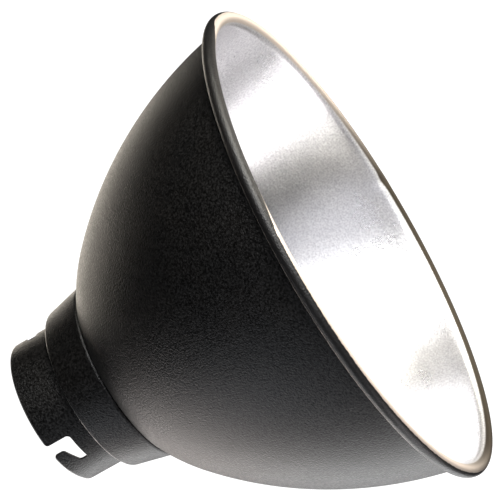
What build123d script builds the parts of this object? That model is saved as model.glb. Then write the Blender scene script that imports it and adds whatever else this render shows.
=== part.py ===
"""Bowl reflector for a studio flash head.

A spun bowl with a rolled lip, a tapered neck ring behind it, a bayonet collar that slides over
the nose of the lamp head, and blind rivets that hold the three together. Millimetres. The axis
is Z, the rear end of the collar is at Z = 0 and the mouth faces +Z.
"""

import os
from math import atan, cos, degrees, radians, sin, tan

from build123d import *

# Overall sizes
overall_length = 187.5
lip_diameter = 266.7
sheet = 1.2  # thickness of the bowl and of the neck ring

# Bayonet collar
collar_diameter = 79.8
collar_wall = 1.2
collar_reach = 25.4  # how far the collar stands out behind the neck ring
collar_bend = 0.8  # inside radius where the tube turns out into its flange
flange_clearance = 0.2  # between the flange and the start of the floor's rise into the wall

# Neck ring
neck_length = 23.6
neck_step = 5.8  # from the collar's tube out to the neck ring's rear edge
neck_flare = 5.3  # on radius, from the neck ring's rear edge to its front edge
neck_rear_bend = 0.7  # inside radii of its two bends
neck_front_bend = 0.4
collar_clearance = 0.3  # between the tube and the rear hole of the neck ring
hole_clearance = 0.3  # between the bend of the collar and the holes it passes through

# Reflector bowl
floor_inset = 1.0  # from the front edge of the neck ring in to the corner of the floor
floor_bend = 3.0  # inside radius of that corner
shoulder_width = 18.8  # from the corner of the floor out to where the wall's long arc begins
shoulder_height = 15.6
lip_wall_angle = 8.4  # between the wall and the axis, just behind the lip
lip_lead_radius = 6.0  # easy bend from the wall into the rolled lip
bead_radius = 3.35  # outside radius of the rolled lip
bead_free_angle = -122.0  # where the sheet's free edge ends, seen from the bead's middle
bead_roll = 247.0  # how far the sheet is rolled from there, towards the easy bend

# Pin slots of the collar, measured round the outside of the tube
slot_count = 3
slot_entry_angle = -90.0  # direction of the middle of the first slot's entry
slot_entry_width = 6.6
slot_length = 16.9  # from the far side of the entry to the closed end
slot_depth = 14.0  # from the rear end of the collar to the slot's forward edge
hook_tip_height = 6.2  # height of the ramp above the rear end, at the entry
hook_root_height = 9.9  # and at the closed end
hook_round = 2.0
seat_round = 1.6
entry_round = 2.0
forward_round = 2.2  # where the entry turns into the channel
end_round = 1.2
slot_margin = 3.0  # how far the punch runs past the rear end of the collar

# Blind rivets
rivet_count = 6
rivet_shank_diameter = 3.2
rivet_hole_clearance = 0.05
rivet_head_diameter = 5.8
rivet_head_height = 1.1
rivet_tail_diameter = 4.6
rivet_tail_length = 3.4
rivet_round = 0.5
stem_diameter = 1.8
stem_head_diameter = 3.0
stem_head_length = 1.4
stem_recess = 0.4  # how far the broken stem lies below the top of the rivet

# Levels and radii that follow from the sizes above
collar_radius = collar_diameter / 2
neck_front_z = collar_reach + neck_length
floor_top_z = neck_front_z + sheet
flange_top_z = floor_top_z + collar_wall
neck_rear_radius = collar_radius + neck_step
neck_front_radius = neck_rear_radius + neck_flare
floor_corner_radius = neck_front_radius - floor_inset
floor_hole_radius = collar_radius + collar_bend + hole_clearance
rivet_circle_radius = (floor_hole_radius + floor_corner_radius) / 2
half_sheet = sheet / 2
half_wall = collar_wall / 2

os.makedirs("parts", exist_ok=True)


def save(part, name):
    """Label a finished piece and write it to its own file."""
    part.label = name
    export_step(part, f"parts/{name}.step")


def rivet_holes(level):
    """Give the circles of the rivet holes at a level, for a cut down through one sheet."""
    with BuildSketch(Plane.XY.offset(level)) as holes:
        with PolarLocations(rivet_circle_radius, rivet_count):
            Circle(rivet_shank_diameter / 2 + rivet_hole_clearance)
    return holes.sketch


# Reflector bowl: a single spinning. Its wall is two arcs, an easy one from the lip and a tight
# one at the shoulder, and its section is drawn along the middle of the sheet.
bead_middle = (lip_diameter / 2 - bead_radius, overall_length - bead_radius)
lead_turn = 180 - (bead_free_angle + bead_roll) - lip_wall_angle
floor_corner = (floor_corner_radius, neck_front_z + half_sheet)
shoulder = (floor_corner[0] + shoulder_width, floor_corner[1] + shoulder_height)

with BuildPart() as reflector_bowl:
    with BuildSketch(Plane.XZ):
        with BuildLine():
            bead = CenterArc(bead_middle, bead_radius - half_sheet, bead_free_angle, bead_roll)
            lead = JernArc(bead @ 1, bead % 1, lip_lead_radius, lead_turn)
            wall = TangentArc(lead @ 1, shoulder, tangent=lead % 1)
            turn = TangentArc(wall @ 1, floor_corner, tangent=wall % 1)
            Line(turn @ 1, (floor_hole_radius, floor_corner[1]))
        trace(line_width=sheet)
    revolve(axis=Axis.Z)
    rings = edges().filter_by(GeomType.CIRCLE)
    rings_by_corner = rings.sort_by(lambda ring: abs(ring.radius - floor_corner_radius))
    lower_ring, upper_ring = rings_by_corner[:2].sort_by(Axis.Z)
    fillet(upper_ring, floor_bend)
    fillet(lower_ring, floor_bend + sheet)
    extrude(rivet_holes(floor_top_z), amount=-sheet, mode=Mode.SUBTRACT)

save(reflector_bowl.part, "reflector_bowl")

# The floor stays flat out to where its bend begins, and the collar's flange stops short of that.
floor_rise = abs(atan((turn % 1).Y / (turn % 1).X))
floor_flat_radius = floor_corner_radius - (floor_bend + half_sheet) * tan(floor_rise / 2)
flange_radius = floor_flat_radius - flange_clearance

# Neck ring: a tapered skirt with an inward flange at each end. The front one lies against the
# bowl's floor and the rear one closes round the collar.
neck_lean = atan(neck_flare / neck_length)
front_inset = half_sheet * (1 / cos(neck_lean) + tan(neck_lean))
rear_inset = half_sheet * (1 / cos(neck_lean) - tan(neck_lean))

with BuildPart() as neck_ring:
    with BuildSketch(Plane.XZ):
        with BuildLine():
            FilletPolyline(
                (collar_radius + collar_clearance, collar_reach + half_sheet),
                (neck_rear_radius - rear_inset, collar_reach + half_sheet),
                (neck_front_radius - front_inset, neck_front_z - half_sheet),
                (floor_hole_radius, neck_front_z - half_sheet),
                radius=[neck_rear_bend + half_sheet, neck_front_bend + half_sheet],
            )
        trace(line_width=sheet)
    revolve(axis=Axis.Z)
    extrude(rivet_holes(neck_front_z), amount=-sheet, mode=Mode.SUBTRACT)

save(neck_ring.part, "neck_ring")

# Bayonet collar: a tube flanged outwards at its front, where it lies on the bowl's floor. The
# pins of the lamp head enter its slots from behind and ride up the ramps as it is turned.
slot_step = 360 / slot_count
slot_half_turn = degrees((slot_length - slot_entry_width) / 2 / collar_radius)
slot_far_x = -slot_length / 2
slot_end_x = slot_length / 2
hook_x = slot_far_x + slot_entry_width
punch_reach = collar_radius - (collar_radius**2 - slot_length**2) ** 0.5 + 2 * collar_wall

with BuildPart() as bayonet_collar:
    with BuildSketch(Plane.XZ):
        with BuildLine():
            FilletPolyline(
                (collar_radius - half_wall, 0),
                (collar_radius - half_wall, flange_top_z - half_wall),
                (flange_radius, flange_top_z - half_wall),
                radius=collar_bend + half_wall,
            )
        trace(line_width=collar_wall)
    revolve(axis=Axis.Z)
    for index in range(slot_count):
        facing = radians(slot_entry_angle + slot_half_turn + index * slot_step)
        outward = Vector(cos(facing), sin(facing), 0)
        punch_plane = Plane(
            origin=outward * collar_radius,
            x_dir=(-sin(facing), cos(facing), 0),
            z_dir=outward,
        )
        with BuildSketch(punch_plane):
            with BuildLine():
                outline = FilletPolyline(
                    (slot_far_x - slot_margin, -slot_margin),
                    (slot_far_x - slot_margin, 0),
                    (slot_far_x, 0),
                    (slot_far_x, slot_depth),
                    (slot_end_x, slot_depth),
                    (slot_end_x, hook_root_height),
                    (hook_x, hook_tip_height),
                    (hook_x, 0),
                    (hook_x + slot_margin, 0),
                    (hook_x + slot_margin, -slot_margin),
                    radius=[
                        0,
                        entry_round,
                        forward_round,
                        end_round,
                        seat_round,
                        hook_round,
                        hook_round,
                        0,
                    ],
                )
                Line(outline @ 1, outline @ 0)
            make_face()
        extrude(amount=punch_reach, both=True, mode=Mode.SUBTRACT)
    extrude(rivet_holes(flange_top_z), amount=-collar_wall, mode=Mode.SUBTRACT)

save(bayonet_collar.part, "bayonet_collar")

# Blind rivets: each is a tubular body, headed inside the bowl and swollen under the neck ring's
# flange, with the broken stem that swelled it left inside.
tail_top_z = neck_front_z - sheet
tail_end_z = tail_top_z - rivet_tail_length
head_top_z = flange_top_z + rivet_head_height

for index in range(rivet_count):
    turn_angle = radians(index * 360 / rivet_count)
    middle = Vector(cos(turn_angle), sin(turn_angle), 0) * rivet_circle_radius
    with BuildPart() as rivet_body:
        with BuildSketch(Plane(middle + (0, 0, flange_top_z))):
            Circle(rivet_head_diameter / 2)
        extrude(amount=rivet_head_height)
        fillet(faces().sort_by(Axis.Z)[-1].edges(), rivet_round)
        with BuildSketch(Plane(middle + (0, 0, tail_end_z))):
            Circle(rivet_tail_diameter / 2)
        extrude(amount=rivet_tail_length)
        fillet(faces().sort_by(Axis.Z)[0].edges(), rivet_round)
        with BuildSketch(Plane(middle + (0, 0, tail_top_z))):
            Circle(rivet_shank_diameter / 2)
        extrude(amount=flange_top_z - tail_top_z)
        with BuildSketch(Plane(middle + (0, 0, tail_end_z))):
            Circle(stem_diameter / 2)
        extrude(amount=head_top_z - tail_end_z, mode=Mode.SUBTRACT)
    save(rivet_body.part, f"rivet_body_{index + 1}")

    with BuildPart() as rivet_stem:
        with BuildSketch(Plane(middle + (0, 0, tail_end_z - stem_head_length))):
            Circle(stem_head_diameter / 2)
        extrude(amount=stem_head_length)
        fillet(faces().sort_by(Axis.Z)[0].edges(), rivet_round)
        with BuildSketch(Plane(middle + (0, 0, tail_end_z))):
            Circle(stem_diameter / 2)
        extrude(amount=head_top_z - stem_recess - tail_end_z)
    save(rivet_stem.part, f"rivet_stem_{index + 1}")
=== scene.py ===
from math import atan, atan2, cos, exp, hypot, pi, radians, sin, tan

import bmesh
import bpy
from mathutils import Matrix, Vector


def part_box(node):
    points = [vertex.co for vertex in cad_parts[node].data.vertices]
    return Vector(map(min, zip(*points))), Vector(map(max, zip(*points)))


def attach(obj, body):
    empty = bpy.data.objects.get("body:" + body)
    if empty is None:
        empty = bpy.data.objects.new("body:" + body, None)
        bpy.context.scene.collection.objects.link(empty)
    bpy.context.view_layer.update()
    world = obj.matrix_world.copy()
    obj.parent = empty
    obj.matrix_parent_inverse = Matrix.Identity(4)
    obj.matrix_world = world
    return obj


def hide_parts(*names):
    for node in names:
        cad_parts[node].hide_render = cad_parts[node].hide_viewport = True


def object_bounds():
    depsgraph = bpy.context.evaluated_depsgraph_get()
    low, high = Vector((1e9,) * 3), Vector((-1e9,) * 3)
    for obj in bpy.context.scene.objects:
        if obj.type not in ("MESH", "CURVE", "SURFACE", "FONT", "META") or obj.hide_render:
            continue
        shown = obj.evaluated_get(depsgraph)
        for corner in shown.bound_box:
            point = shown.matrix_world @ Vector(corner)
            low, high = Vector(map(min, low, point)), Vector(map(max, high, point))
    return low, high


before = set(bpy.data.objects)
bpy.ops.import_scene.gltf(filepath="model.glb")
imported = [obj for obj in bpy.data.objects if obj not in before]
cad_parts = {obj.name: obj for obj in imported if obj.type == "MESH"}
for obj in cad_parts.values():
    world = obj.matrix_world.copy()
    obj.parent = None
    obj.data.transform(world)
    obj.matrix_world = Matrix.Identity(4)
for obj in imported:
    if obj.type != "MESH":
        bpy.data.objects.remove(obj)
cad_low, cad_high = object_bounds()
mm = 0.001

# Camera. A long lens a little above the rim's plane, rolled so that the mouth opens to the upper
# right. Distance and framing are in lip radii, from the middle of the mouth.
lip_radius = (cad_high.x - cad_low.x) / 2
mouth = Vector((0, 0, cad_high.z))
camera_turn = radians(-24.6)
camera_elevation = radians(15.6)
camera_roll = radians(60.03)
camera_distance = 9.843 * lip_radius
framing_right = 0.4083 * lip_radius
framing_up = 0.0447 * lip_radius

camera = bpy.data.objects.new("camera", bpy.data.cameras.new("camera"))
camera.data.sensor_width = 36
camera.data.lens = 187.2
camera.data.clip_start = 0.05
camera.data.clip_end = 50
facing = (
    Matrix.Rotation(camera_turn, 4, "Z")
    @ Matrix.Rotation(pi / 2 - camera_elevation, 4, "X")
    @ Matrix.Rotation(camera_roll, 4, "Z")
)
camera.matrix_world = (
    Matrix.Translation(mouth)
    @ facing
    @ Matrix.Translation((-framing_right, -framing_up, camera_distance))
)
bpy.context.collection.objects.link(camera)
bpy.context.scene.camera = camera


# Floor and room. A white sweep lit so brightly that it shows no shadow, in a studio that is white to
# look at and gives hardly any light. The floor is only a backdrop: the low softboxes shine past it.
def linear(hex_colour):
    """Turn an sRGB hex value into the linear colour that Blender's sockets take."""
    channels = [int(hex_colour[i : i + 2], 16) / 255 for i in (1, 3, 5)]
    return (*[c / 12.92 if c <= 0.04045 else ((c + 0.055) / 1.055) ** 2.4 for c in channels], 1)


def node(tree, kind, settings=(), **links):
    """Add a node, set what is a value and link what is another node's output."""
    made = tree.nodes.new(kind)
    for name, value in dict(settings).items():
        setattr(made, name, value)
    for name, value in links.items():
        key = int(name[3:]) if name.startswith("in_") else name.replace("_", " ")
        if isinstance(value, bpy.types.NodeSocket):
            tree.links.new(value, made.inputs[key])
        else:
            made.inputs[key].default_value = value
    return made


def new_material(name):
    """Start a material with an empty node tree and give back both."""
    material = bpy.data.materials.new(name)
    material.use_nodes = True
    material.node_tree.nodes.clear()
    return material, material.node_tree


floor_mesh = bmesh.new()
bmesh.ops.create_grid(floor_mesh, x_segments=1, y_segments=1, size=12)
floor_data = bpy.data.meshes.new("floor")
floor_mesh.to_mesh(floor_data)
floor_mesh.free()
floor = bpy.data.objects.new("floor", floor_data)
bpy.context.collection.objects.link(floor)
floor.visible_diffuse = False
floor.visible_glossy = False
floor.visible_shadow = False

backdrop_glow = 1.2
white_sweep, tree = new_material("lit_white_paper")
paper = node(tree, "ShaderNodeEmission", Color=linear("#ffffff"), Strength=backdrop_glow)
node(tree, "ShaderNodeOutputMaterial", Surface=paper.outputs[0])
floor_data.materials.append(white_sweep)

world = bpy.data.worlds.new("studio")
bpy.context.scene.world = world
world.use_nodes = True
tree = world.node_tree
tree.nodes.clear()
seen = node(tree, "ShaderNodeLightPath")
dim_room = node(tree, "ShaderNodeBackground", Color=linear("#ffffff"), Strength=0.02)
white_wall = node(
    tree, "ShaderNodeBackground", Color=linear("#ffffff"), Strength=backdrop_glow
)
room = node(
    tree,
    "ShaderNodeMixShader",
    in_0=seen.outputs["Is Camera Ray"],
    in_1=dim_room.outputs[0],
    in_2=white_wall.outputs[0],
)
node(tree, "ShaderNodeOutputWorld", Surface=room.outputs[0])
bpy.context.scene.view_settings.view_transform = "Standard"


# Softboxes. Strong ones hang above and shine into the mouth, weaker ones stand low and behind and
# only graze the black outside. Each is placed along the camera's own right, up and front.
softbox_side = 1.0
softbox_reach = 1.5
lit_middle = Vector((0, 0, 100 * mm))


def softbox(name, right, up, front, power, colour="#ffffff"):
    """Hang a square softbox on one side of the object, aimed at its middle."""
    light = bpy.data.lights.new(name, "AREA")
    light.shape = "SQUARE"
    light.size = softbox_side
    light.energy = power
    light.color = linear(colour)[:3]
    holder = bpy.data.objects.new(name, light)
    away = (facing.to_3x3() @ Vector((right, up, front))).normalized()
    holder.location = lit_middle + away * softbox_reach
    holder.rotation_mode = "QUATERNION"
    holder.rotation_quaternion = away.to_track_quat("Z", "Y")
    holder.visible_camera = False
    bpy.context.collection.objects.link(holder)


softbox("overhead_box", 0.16, 0.89, 0.42, power=34, colour="#fffaee")
softbox("upper_front_box", 0.0, 0.59, 0.81, power=22)
softbox("right_rear_box", 0.81, 0.52, -0.28, power=14.5, colour="#fff6ea")
softbox("rear_box", -0.44, 0.0, -0.9, power=10, colour="#fff5e6")
softbox("low_rear_box", 0.2, -0.76, -0.62, power=11)
softbox("low_left_rear_box", -0.39, -0.68, -0.62, power=10, colour="#fff6f1")
softbox("low_right_box", 0.63, -0.77, 0.08, power=9.5, colour="#fffafc")
softbox("low_left_box", -0.44, -0.9, 0.08, power=4.5, colour="#f3f7ff")
softbox("front_fill", 0.24, 0.0, 0.97, power=2.5, colour="#f6f6ff")


# Reflector bowl: one disc of 1.2 mm aluminium spun over a chuck and rolled over at the lip. It is
# sprayed with black wrinkle paint from behind and left bare and finely peened inside.
def along(points, heading, radius, turn, steps):
    """Carry a line on round an arc. A positive turn is anticlockwise. Gives the new heading."""
    side = 1 if turn > 0 else -1
    x, z = points[-1]
    middle_x = x - side * radius * sin(heading)
    middle_z = z + side * radius * cos(heading)
    for step in range(1, steps + 1):
        angle = heading + turn * step / steps
        points.append((middle_x + side * radius * sin(angle), middle_z - side * radius * cos(angle)))
    return heading + turn


def arc_to(points, heading, end, steps, short=0.0):
    """Carry a line on round the one arc from this heading to a point, or stop short of it."""
    x, z = points[-1]
    off = (atan2(end[1] - z, end[0] - x) - heading + pi) % (2 * pi) - pi
    radius = abs(hypot(end[0] - x, end[1] - z) / (2 * sin(off)))
    turn = 2 * off * (1 - short / abs(2 * off * radius))
    return along(points, heading, radius, turn, steps)


def spun(line, turns):
    """Spin a line of (radius, height) points about the axis into a sheet with no thickness."""
    mesh = bmesh.new()
    dots = [mesh.verts.new((x, 0, z)) for x, z in line]
    rods = [mesh.edges.new(pair) for pair in zip(dots, dots[1:])]
    bmesh.ops.spin(
        mesh, geom=dots + rods, axis=(0, 0, 1), angle=2 * pi, steps=turns, use_merge=True
    )
    bmesh.ops.remove_doubles(mesh, verts=mesh.verts, dist=1e-7)
    bmesh.ops.recalc_face_normals(mesh, faces=mesh.faces)
    return mesh


def sheet_piece(name, mesh, materials, thickness, edge):
    """Make a piece of a mid-surface: give it its thickness, and ease its cut edges."""
    for face in mesh.faces:
        face.smooth = True
    data = bpy.data.meshes.new(name)
    mesh.to_mesh(data)
    mesh.free()
    for material in materials:
        data.materials.append(material)
    piece = bpy.data.objects.new(name, data)
    bpy.context.collection.objects.link(piece)
    thicken = piece.modifiers.new("thickness", "SOLIDIFY")
    thicken.thickness = thickness
    thicken.offset = 0
    thicken.use_even_offset = True
    thicken.material_offset = len(materials) - 1
    ease = piece.modifiers.new("eased_edges", "BEVEL")
    ease.width = edge
    ease.segments = 2
    ease.limit_method = "ANGLE"
    ease.angle_limit = radians(50)
    ease.use_clamp_overlap = False
    ease.harden_normals = True
    return piece


sheet = 1.2 * mm
bead_radius = 3.35 * mm
bead_middle = (lip_radius - bead_radius, cad_high.z - bead_radius)
roll = bead_radius - sheet / 2
free_angle = radians(-122)
bead_turn = radians(247)
lead_bend = 6.0 * mm
lip_heading = radians(261.6)
shoulder_width = 18.8 * mm
shoulder_height = 15.6 * mm
floor_corner = (50.0 * mm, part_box("reflector_bowl")[0].z + sheet / 2)
floor_bend = 3.6 * mm
floor_bend_setback = 1.0 * mm
floor_hole_radius = 41.0 * mm
shoulder = (floor_corner[0] + shoulder_width, floor_corner[1] + shoulder_height)

# the line follows the middle of the sheet, from the rolled edge in to the hole in the floor
bowl_line = [(bead_middle[0] + roll * cos(free_angle), bead_middle[1] + roll * sin(free_angle))]
heading = along(bowl_line, free_angle + pi / 2, roll, bead_turn, steps=26)
heading = along(bowl_line, heading, lead_bend, lip_heading - heading, steps=8)
heading = arc_to(bowl_line, heading, shoulder, steps=30)
heading = arc_to(bowl_line, heading, floor_corner, steps=10, short=floor_bend_setback)
along(bowl_line, heading, floor_bend, pi - heading, steps=5)
bowl_line.append((floor_hole_radius, floor_corner[1]))
bowl_mesh = spun(bowl_line, turns=360)

# a knock on the inside of the lip has left a small dent
dent_angle = radians(74)
dent_radius = 128.4 * mm
dent_drop = 2.0 * mm
dent_push = 0.7 * mm
dent_spread = 3.5 * mm
dent = Vector((cos(dent_angle) * dent_radius, sin(dent_angle) * dent_radius, cad_high.z - dent_drop))
for vert in bowl_mesh.verts:
    gap = (vert.co - dent).length
    if gap < 12 * mm:
        outward = Vector((vert.co.x, vert.co.y, 0)).normalized()
        vert.co += outward * dent_push * exp(-((gap / dent_spread) ** 2))


def radius_and_height(tree, where):
    """Give a surface point's radius and height as the X and Z of one vector."""
    flat = node(
        tree,
        "ShaderNodeVectorMath",
        {"operation": "MULTIPLY"},
        in_0=where.outputs["Object"],
        in_1=(1, 1, 0),
    )
    radius = node(tree, "ShaderNodeVectorMath", {"operation": "LENGTH"}, in_0=flat.outputs[0])
    height = node(tree, "ShaderNodeSeparateXYZ", Vector=where.outputs["Object"])
    return node(tree, "ShaderNodeCombineXYZ", X=radius.outputs["Value"], Z=height.outputs["Z"])


def worn_ring(tree, where, ring, width, patch):
    """Say where a raised ring has lost its paint: 1 on the ring, 0 away from it, uneven along it."""
    gap = node(
        tree,
        "ShaderNodeVectorMath",
        {"operation": "DISTANCE"},
        in_0=radius_and_height(tree, where).outputs[0],
        in_1=(ring[0], 0, ring[1]),
    )
    rub = node(
        tree, "ShaderNodeTexNoise", Vector=where.outputs["Object"], Scale=1 / patch, Detail=3
    )
    shift = node(
        tree,
        "ShaderNodeMath",
        {"operation": "MULTIPLY_ADD"},
        in_0=rub.outputs[0],
        in_1=-width,
        in_2=gap.outputs["Value"],
    )
    return node(
        tree,
        "ShaderNodeMapRange",
        Value=shift.outputs[0],
        From_Min=width * 0.5,
        From_Max=width * 0.15,
    )


# Black wrinkle paint, sprayed and baked: a soft black with a crawl of ridges about 0.8 mm apart,
# drawn a little coarser than life so that every highlight breaks into grain. Where it has worn
# away, bare aluminium shows.
def wrinkle_paint(name, bare=None):
    """Make the paint. A bare function, where given, adds nodes that say where the metal shows."""
    material, tree = new_material(name)
    where = node(tree, "ShaderNodeTexCoord")
    crawl = node(
        tree,
        "ShaderNodeTexVoronoi",
        {"feature": "SMOOTH_F1"},
        Vector=where.outputs["Object"],
        Scale=1 / (0.8 * mm),
        Smoothness=0.4,
    )
    grit = node(
        tree, "ShaderNodeTexNoise", Vector=where.outputs["Object"], Scale=1 / (1.1 * mm), Detail=1
    )
    ridges = node(
        tree, "ShaderNodeMath", {"operation": "ADD"}, in_0=crawl.outputs[0], in_1=grit.outputs[0]
    )
    relief = node(
        tree, "ShaderNodeBump", Height=ridges.outputs[0], Strength=0.8, Distance=0.2 * mm
    )
    dust = node(
        tree, "ShaderNodeTexNoise", Vector=where.outputs["Object"], Scale=1 / (22 * mm), Detail=5
    )
    shade = node(tree, "ShaderNodeMapRange", Value=dust.outputs[0], From_Min=0.35, From_Max=0.7)
    colour = node(
        tree,
        "ShaderNodeMix",
        {"data_type": "RGBA"},
        in_0=shade.outputs[0],
        in_6=linear("#060606"),
        in_7=linear("#0f0d0b"),
    )
    speckled = node(
        tree,
        "ShaderNodeMix",
        {"data_type": "RGBA"},
        in_0=grit.outputs[0],
        in_6=linear("#000000"),
        in_7=colour.outputs[2],
    )
    gloss = node(
        tree,
        "ShaderNodeMapRange",
        Value=grit.outputs[0],
        From_Min=0.3,
        From_Max=0.7,
        To_Min=0.34,
        To_Max=0.56,
    )
    sheen = node(
        tree,
        "ShaderNodeMapRange",
        Value=grit.outputs[0],
        From_Min=0.35,
        From_Max=0.65,
        To_Min=0.35,
        To_Max=0.65,
    )
    skin = node(
        tree,
        "ShaderNodeBsdfPrincipled",
        Base_Color=speckled.outputs[2],
        Roughness=gloss.outputs[0],
        Specular_IOR_Level=sheen.outputs[0],
        Normal=relief.outputs[0],
    )
    finish = skin
    if bare:
        metal = node(
            tree,
            "ShaderNodeBsdfPrincipled",
            Base_Color=linear("#b9b8b6"),
            Metallic=1.0,
            Roughness=0.35,
        )
        finish = node(
            tree,
            "ShaderNodeMixShader",
            in_0=bare(tree, where).outputs[0],
            in_1=skin.outputs[0],
            in_2=metal.outputs[0],
        )
    node(tree, "ShaderNodeOutputMaterial", Surface=finish.outputs[0])
    return material


outside_paint = wrinkle_paint("black_wrinkle_paint")

# Peened satin aluminium, etched after spinning: a pale neutral grey whose shallow dimples scatter
# the light and make it grainy. They are drawn about 1 mm across, coarser than life, so that they
# show. The lip's crest is dull and creamy with a painted dark reflection round one side, and the paint
# from behind laps over it.
inside_metal, tree = new_material("peened_satin_aluminium")
where = node(tree, "ShaderNodeTexCoord")
dimples = node(
    tree,
    "ShaderNodeTexVoronoi",
    {"feature": "SMOOTH_F1"},
    Vector=where.outputs["Object"],
    Scale=1 / (1.2 * mm),
    Smoothness=1.0,
)
grain = node(
    tree, "ShaderNodeTexNoise", Vector=where.outputs["Object"], Scale=1 / (1.0 * mm), Detail=0
)
texture = node(
    tree, "ShaderNodeMath", {"operation": "ADD"}, in_0=dimples.outputs[0], in_1=grain.outputs[0]
)
relief = node(tree, "ShaderNodeBump", Height=texture.outputs[0], Strength=0.5, Distance=0.06 * mm)
haze = node(
    tree, "ShaderNodeTexNoise", Vector=where.outputs["Object"], Scale=1 / (30 * mm), Detail=4
)
gloss = node(
    tree,
    "ShaderNodeMapRange",
    Value=haze.outputs[0],
    From_Min=0.3,
    From_Max=0.7,
    To_Min=0.26,
    To_Max=0.34,
)
silver = node(
    tree,
    "ShaderNodeMix",
    {"data_type": "RGBA"},
    in_0=grain.outputs[0],
    in_6=linear("#c6c5c8"),
    in_7=linear("#ffffff"),
)

# from the top of the wall outwards the crest is dull and creamy, with a painted dark reflection round one
# side
wall_top_radius = lip_radius - 6.15 * mm
dark_reflection_side = radians(30)
place = radius_and_height(tree, where)
measure = node(tree, "ShaderNodeSeparateXYZ", Vector=place.outputs[0])
crest = node(
    tree,
    "ShaderNodeMapRange",
    {"interpolation_type": "SMOOTHSTEP"},
    Value=measure.outputs[0],
    From_Min=lip_radius - 7.0 * mm,
    From_Max=lip_radius - 6.2 * mm,
)
burnished = node(
    tree,
    "ShaderNodeMapRange",
    {"interpolation_type": "SMOOTHSTEP"},
    Value=measure.outputs[0],
    From_Min=lip_radius - 8.4 * mm,
    From_Max=lip_radius - 6.8 * mm,
)
rough_crest = node(
    tree,
    "ShaderNodeMix",
    {"data_type": "FLOAT"},
    in_0=burnished.outputs[0],
    in_2=gloss.outputs[0],
    in_3=0.6,
)
# painted reflection: towards one side the crest's colour turns dark olive, standing in for the dark room
# it reflects
facing_dark_reflection = node(
    tree,
    "ShaderNodeVectorMath",
    {"operation": "DOT_PRODUCT"},
    in_0=where.outputs["Object"],
    in_1=(cos(dark_reflection_side) / lip_radius, sin(dark_reflection_side) / lip_radius, 0),
)
painted_reflection_mask = node(
    tree,
    "ShaderNodeMapRange",
    {"interpolation_type": "SMOOTHSTEP"},
    Value=facing_dark_reflection.outputs["Value"],
    From_Min=0.1,
    From_Max=0.75,
)
crest_tone_with_painted_reflection = node(
    tree,
    "ShaderNodeMix",
    {"data_type": "RGBA"},
    in_0=painted_reflection_mask.outputs[0],
    in_6=linear("#e6dcd3"),
    in_7=linear("#4a443b"),
)
tone = node(
    tree,
    "ShaderNodeMix",
    {"data_type": "RGBA"},
    in_0=crest.outputs[0],
    in_6=silver.outputs[2],
    in_7=crest_tone_with_painted_reflection.outputs[2],
)
metal = node(
    tree,
    "ShaderNodeBsdfPrincipled",
    Base_Color=tone.outputs[2],
    Metallic=1.0,
    Roughness=rough_crest.outputs[0],
    Normal=relief.outputs[0],
)

# the edge of the paint was cut in by hand, and on one side it laps right over the crest
lapped_side = radians(202)
painted_from = lip_radius - 1.15 * mm
lapped_from = lip_radius - 4.6 * mm
ragged = node(
    tree, "ShaderNodeTexNoise", Vector=where.outputs["Object"], Scale=1 / (2 * mm), Detail=3
)
lap = node(
    tree,
    "ShaderNodeVectorMath",
    {"operation": "DOT_PRODUCT"},
    in_0=where.outputs["Object"],
    in_1=(cos(lapped_side) / lip_radius, sin(lapped_side) / lip_radius, 0),
)
lapped_edge = node(
    tree,
    "ShaderNodeMapRange",
    {"interpolation_type": "SMOOTHSTEP"},
    Value=lap.outputs["Value"],
    From_Min=0.82,
    From_Max=0.91,
    To_Min=painted_from,
    To_Max=lapped_from,
)
past_edge = node(
    tree,
    "ShaderNodeMath",
    {"operation": "SUBTRACT"},
    in_0=measure.outputs[0],
    in_1=lapped_edge.outputs[0],
)
past_ragged = node(
    tree,
    "ShaderNodeMath",
    {"operation": "MULTIPLY_ADD"},
    in_0=ragged.outputs[0],
    in_1=0.6 * mm,
    in_2=past_edge.outputs[0],
)
over_crest = node(
    tree,
    "ShaderNodeMapRange",
    Value=past_ragged.outputs[0],
    From_Min=0.22 * mm,
    From_Max=0.38 * mm,
)
outer = node(
    tree,
    "ShaderNodeMath",
    {"operation": "GREATER_THAN"},
    in_0=measure.outputs[0],
    in_1=wall_top_radius,
)
rear = node(
    tree,
    "ShaderNodeMath",
    {"operation": "LESS_THAN"},
    in_0=measure.outputs[2],
    in_1=bead_middle[1],
)
behind = node(
    tree, "ShaderNodeMath", {"operation": "MULTIPLY"}, in_0=outer.outputs[0], in_1=rear.outputs[0]
)
painted = node(
    tree,
    "ShaderNodeMath",
    {"operation": "MAXIMUM"},
    in_0=over_crest.outputs[0],
    in_1=behind.outputs[0],
)
rub_angle = radians(-74)
rub_ring = (
    bead_middle[0] + bead_radius * cos(rub_angle),
    bead_middle[1] + bead_radius * sin(rub_angle),
)
rubbed = worn_ring(tree, where, rub_ring, width=0.9 * mm, patch=3 * mm)
kept = node(
    tree,
    "ShaderNodeMath",
    {"operation": "SUBTRACT", "use_clamp": True},
    in_0=painted.outputs[0],
    in_1=rubbed.outputs[0],
)
grit = node(
    tree, "ShaderNodeTexNoise", Vector=where.outputs["Object"], Scale=1 / (0.9 * mm), Detail=4
)
crawl = node(tree, "ShaderNodeBump", Height=grit.outputs[0], Strength=1.0, Distance=0.35 * mm)
lip_paint = node(
    tree,
    "ShaderNodeBsdfPrincipled",
    Base_Color=linear("#0f0e0e"),
    Roughness=0.4,
    Normal=crawl.outputs[0],
)
surface = node(
    tree,
    "ShaderNodeMixShader",
    in_0=kept.outputs[0],
    in_1=metal.outputs[0],
    in_2=lip_paint.outputs[0],
)
node(tree, "ShaderNodeOutputMaterial", Surface=surface.outputs[0])

bowl = sheet_piece("reflector_bowl_shell", bowl_mesh, [inside_metal, outside_paint], sheet, edge=0.2 * mm)
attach(bowl, "root")
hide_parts("reflector_bowl")


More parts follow.
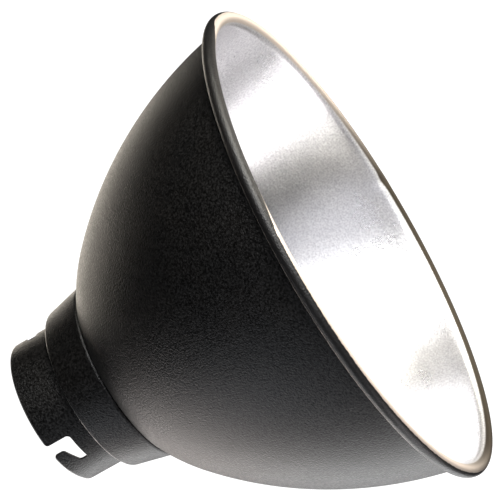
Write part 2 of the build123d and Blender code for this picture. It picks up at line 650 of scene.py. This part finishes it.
# Neck ring: a tapered skirt pressed from the same sheet, with an inward flange at each end. Its
# front flange is riveted under the bowl's floor, and its rear bend has been rubbed bright.
def corner(points, heading, at, radius, turn, steps):
    """Run straight towards a corner and round it off. Gives the new heading."""
    back = radius * tan(abs(turn) / 2)
    points.append((at[0] - back * cos(heading), at[1] - back * sin(heading)))
    return along(points, heading, radius, turn, steps)


neck_low, neck_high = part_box("neck_ring")
neck_front_radius = neck_high.x
neck_flare = 5.3 * mm
neck_rear_radius = neck_front_radius - neck_flare
lean = atan(neck_flare / (neck_high.z - neck_low.z))
front_inset = sheet / 2 * (1 / cos(lean) + tan(lean))
rear_inset = sheet / 2 * (1 / cos(lean) - tan(lean))
neck_rear_bend = 1.3 * mm
neck_front_bend = 1.0 * mm
neck_hole_radius = 40.2 * mm

neck_line = [(neck_hole_radius, neck_low.z + sheet / 2)]
rear_corner = (neck_rear_radius - rear_inset, neck_low.z + sheet / 2)
front_corner = (neck_front_radius - front_inset, neck_high.z - sheet / 2)
heading = corner(neck_line, 0, rear_corner, neck_rear_bend, pi / 2 - lean, steps=8)
corner(neck_line, heading, front_corner, neck_front_bend, pi / 2 + lean, steps=10)
neck_line.append((floor_hole_radius, neck_high.z - sheet / 2))
neck_mesh = spun(neck_line, turns=180)
neck_rub = (neck_rear_radius - 0.95 * mm, neck_low.z + 0.25 * mm)
neck_paint = wrinkle_paint(
    "rubbed_wrinkle_paint",
    lambda tree, where: worn_ring(tree, where, neck_rub, width=1.0 * mm, patch=4 * mm),
)
neck = sheet_piece("neck_ring_skirt", neck_mesh, [neck_paint], sheet, edge=0.2 * mm)
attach(neck, "root")
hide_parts("neck_ring")

# Bayonet collar: a tube of 1.2 mm aluminium turned out into a flange inside the bowl, with three
# slots for the lamp head's pins. Each third is cut flat, then rolled, and the thirds are welded.
collar_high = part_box("bayonet_collar")[1]
collar_radius = 39.9 * mm
wall = 1.2 * mm
tube_radius = collar_radius - wall / 2
tube_bend = 1.4 * mm
bend_start = collar_high.z - wall / 2 - tube_bend
bend_length = tube_bend * pi / 2
flange_edge = collar_high.x - tube_radius - tube_bend
blank_length = bend_start + bend_length + flange_edge
half_width = pi * tube_radius / 3

slot_length = 16.9 * mm
slot_depth = 14.0 * mm
entry_width = 6.6 * mm
hook_tip = 6.2 * mm
hook_root = 9.9 * mm
entry_round = 2.0 * mm
forward_round = 2.2 * mm
end_round = 1.2 * mm
seat_round = 1.6 * mm
hook_round = 2.0 * mm
slot_middle_turn = (slot_length - entry_width) / 2 / collar_radius
far_x = -slot_length / 2
end_x = slot_length / 2
hook_x = far_x + entry_width
ramp_turn = radians(70.2)  # from the direction of the axis to that of the ramp

flat = bmesh.new()
outline = [
    flat.verts.new((x, y, 0))
    for x, y in (
        (-half_width, 0),
        (far_x, 0),
        (far_x, slot_depth),
        (end_x, slot_depth),
        (end_x, hook_root),
        (hook_x, hook_tip),
        (hook_x, 0),
        (half_width, 0),
        (half_width, blank_length),
        (-half_width, blank_length),
    )
]
flat.faces.new(outline)
# every corner of the slot is rounded, and a setback is where its rounding starts
setbacks = (
    entry_round,
    forward_round,
    end_round,
    seat_round * tan(ramp_turn / 2),
    hook_round * tan(ramp_turn / 2),
    hook_round,
)
for vert, setback in zip(outline[1:7], setbacks):
    bmesh.ops.bevel(
        flat, geom=[vert], offset=setback, affect="VERTICES", segments=6, profile=0.5, material=-1
    )

# cut across into strips so that it can be rolled, with more cuts where the flange bends out
strips = 60
for strip in range(1, strips):
    bmesh.ops.bisect_plane(
        flat,
        geom=flat.verts[:] + flat.edges[:] + flat.faces[:],
        plane_co=(half_width * (2 * strip / strips - 1), 0, 0),
        plane_no=(1, 0, 0),
    )
bends = 8
above_slot = slot_depth + 2 * mm
for cut in [above_slot] + [bend_start + bend_length * step / bends for step in range(bends + 1)]:
    bmesh.ops.bisect_plane(
        flat,
        geom=flat.verts[:] + flat.edges[:] + flat.faces[:],
        plane_co=(0, cut, 0),
        plane_no=(0, 1, 0),
    )
bmesh.ops.remove_doubles(flat, verts=flat.verts, dist=0.05 * mm)
for vert in flat.verts:
    turn = vert.co.x / tube_radius - pi / 2 + slot_middle_turn
    bend = min(max((vert.co.y - bend_start) / tube_bend, 0), pi / 2)
    past = max(vert.co.y - bend_start - bend_length, 0)
    radius = tube_radius + tube_bend * (1 - cos(bend)) + past
    height = min(vert.co.y, bend_start) + tube_bend * sin(bend)
    vert.co = (radius * cos(turn), radius * sin(turn), height)
third = flat.verts[:] + flat.edges[:] + flat.faces[:]
for step in (1, 2):
    copy = bmesh.ops.duplicate(flat, geom=third)["geom"]
    bmesh.ops.rotate(
        flat,
        verts=[item for item in copy if isinstance(item, bmesh.types.BMVert)],
        cent=(0, 0, 0),
        matrix=Matrix.Rotation(step * 2 * pi / 3, 3, "Z"),
    )
bmesh.ops.remove_doubles(flat, verts=flat.verts, dist=0.01 * mm)
bmesh.ops.recalc_face_normals(flat, faces=flat.faces)
collar_paint = wrinkle_paint(
    "collar_wrinkle_paint",
    lambda tree, where: worn_ring(
        tree, where, (collar_radius, 0), width=0.7 * mm, patch=5 * mm
    ),
)
collar = sheet_piece("bayonet_collar_tube", flat, [collar_paint], wall, edge=0.15 * mm)
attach(collar, "root")
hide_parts("bayonet_collar")

# Blind rivets: aluminium bodies headed inside the bowl, each with the broken end of its steel
# stem. They are set after painting, so both are bare.
rivet_metal, tree = new_material("drawn_aluminium")
where = node(tree, "ShaderNodeTexCoord")
draw = node(
    tree, "ShaderNodeTexNoise", Vector=where.outputs["Object"], Scale=1 / (0.9 * mm), Detail=3
)
relief = node(tree, "ShaderNodeBump", Height=draw.outputs[0], Strength=0.3, Distance=0.05 * mm)
gloss = node(tree, "ShaderNodeMapRange", Value=draw.outputs[0], To_Min=0.22, To_Max=0.42)
metal = node(
    tree,
    "ShaderNodeBsdfPrincipled",
    Base_Color=linear("#c9c8c6"),
    Metallic=1.0,
    Roughness=gloss.outputs[0],
    Normal=relief.outputs[0],
)
node(tree, "ShaderNodeOutputMaterial", Surface=metal.outputs[0])

stem_metal, tree = new_material("snapped_steel")
where = node(tree, "ShaderNodeTexCoord")
break_grain = node(
    tree, "ShaderNodeTexNoise", Vector=where.outputs["Object"], Scale=1 / (0.4 * mm), Detail=4
)
relief = node(
    tree, "ShaderNodeBump", Height=break_grain.outputs[0], Strength=0.8, Distance=0.08 * mm
)
shade = node(
    tree,
    "ShaderNodeMix",
    {"data_type": "RGBA"},
    in_0=break_grain.outputs[0],
    in_6=linear("#4b4744"),
    in_7=linear("#8b8884"),
)
metal = node(
    tree,
    "ShaderNodeBsdfPrincipled",
    Base_Color=shade.outputs[2],
    Metallic=1.0,
    Roughness=0.5,
    Normal=relief.outputs[0],
)
node(tree, "ShaderNodeOutputMaterial", Surface=metal.outputs[0])

for name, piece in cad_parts.items():
    if name.startswith("rivet"):
        piece.data.materials.clear()
        piece.data.materials.append(rivet_metal if "body" in name else stem_metal)
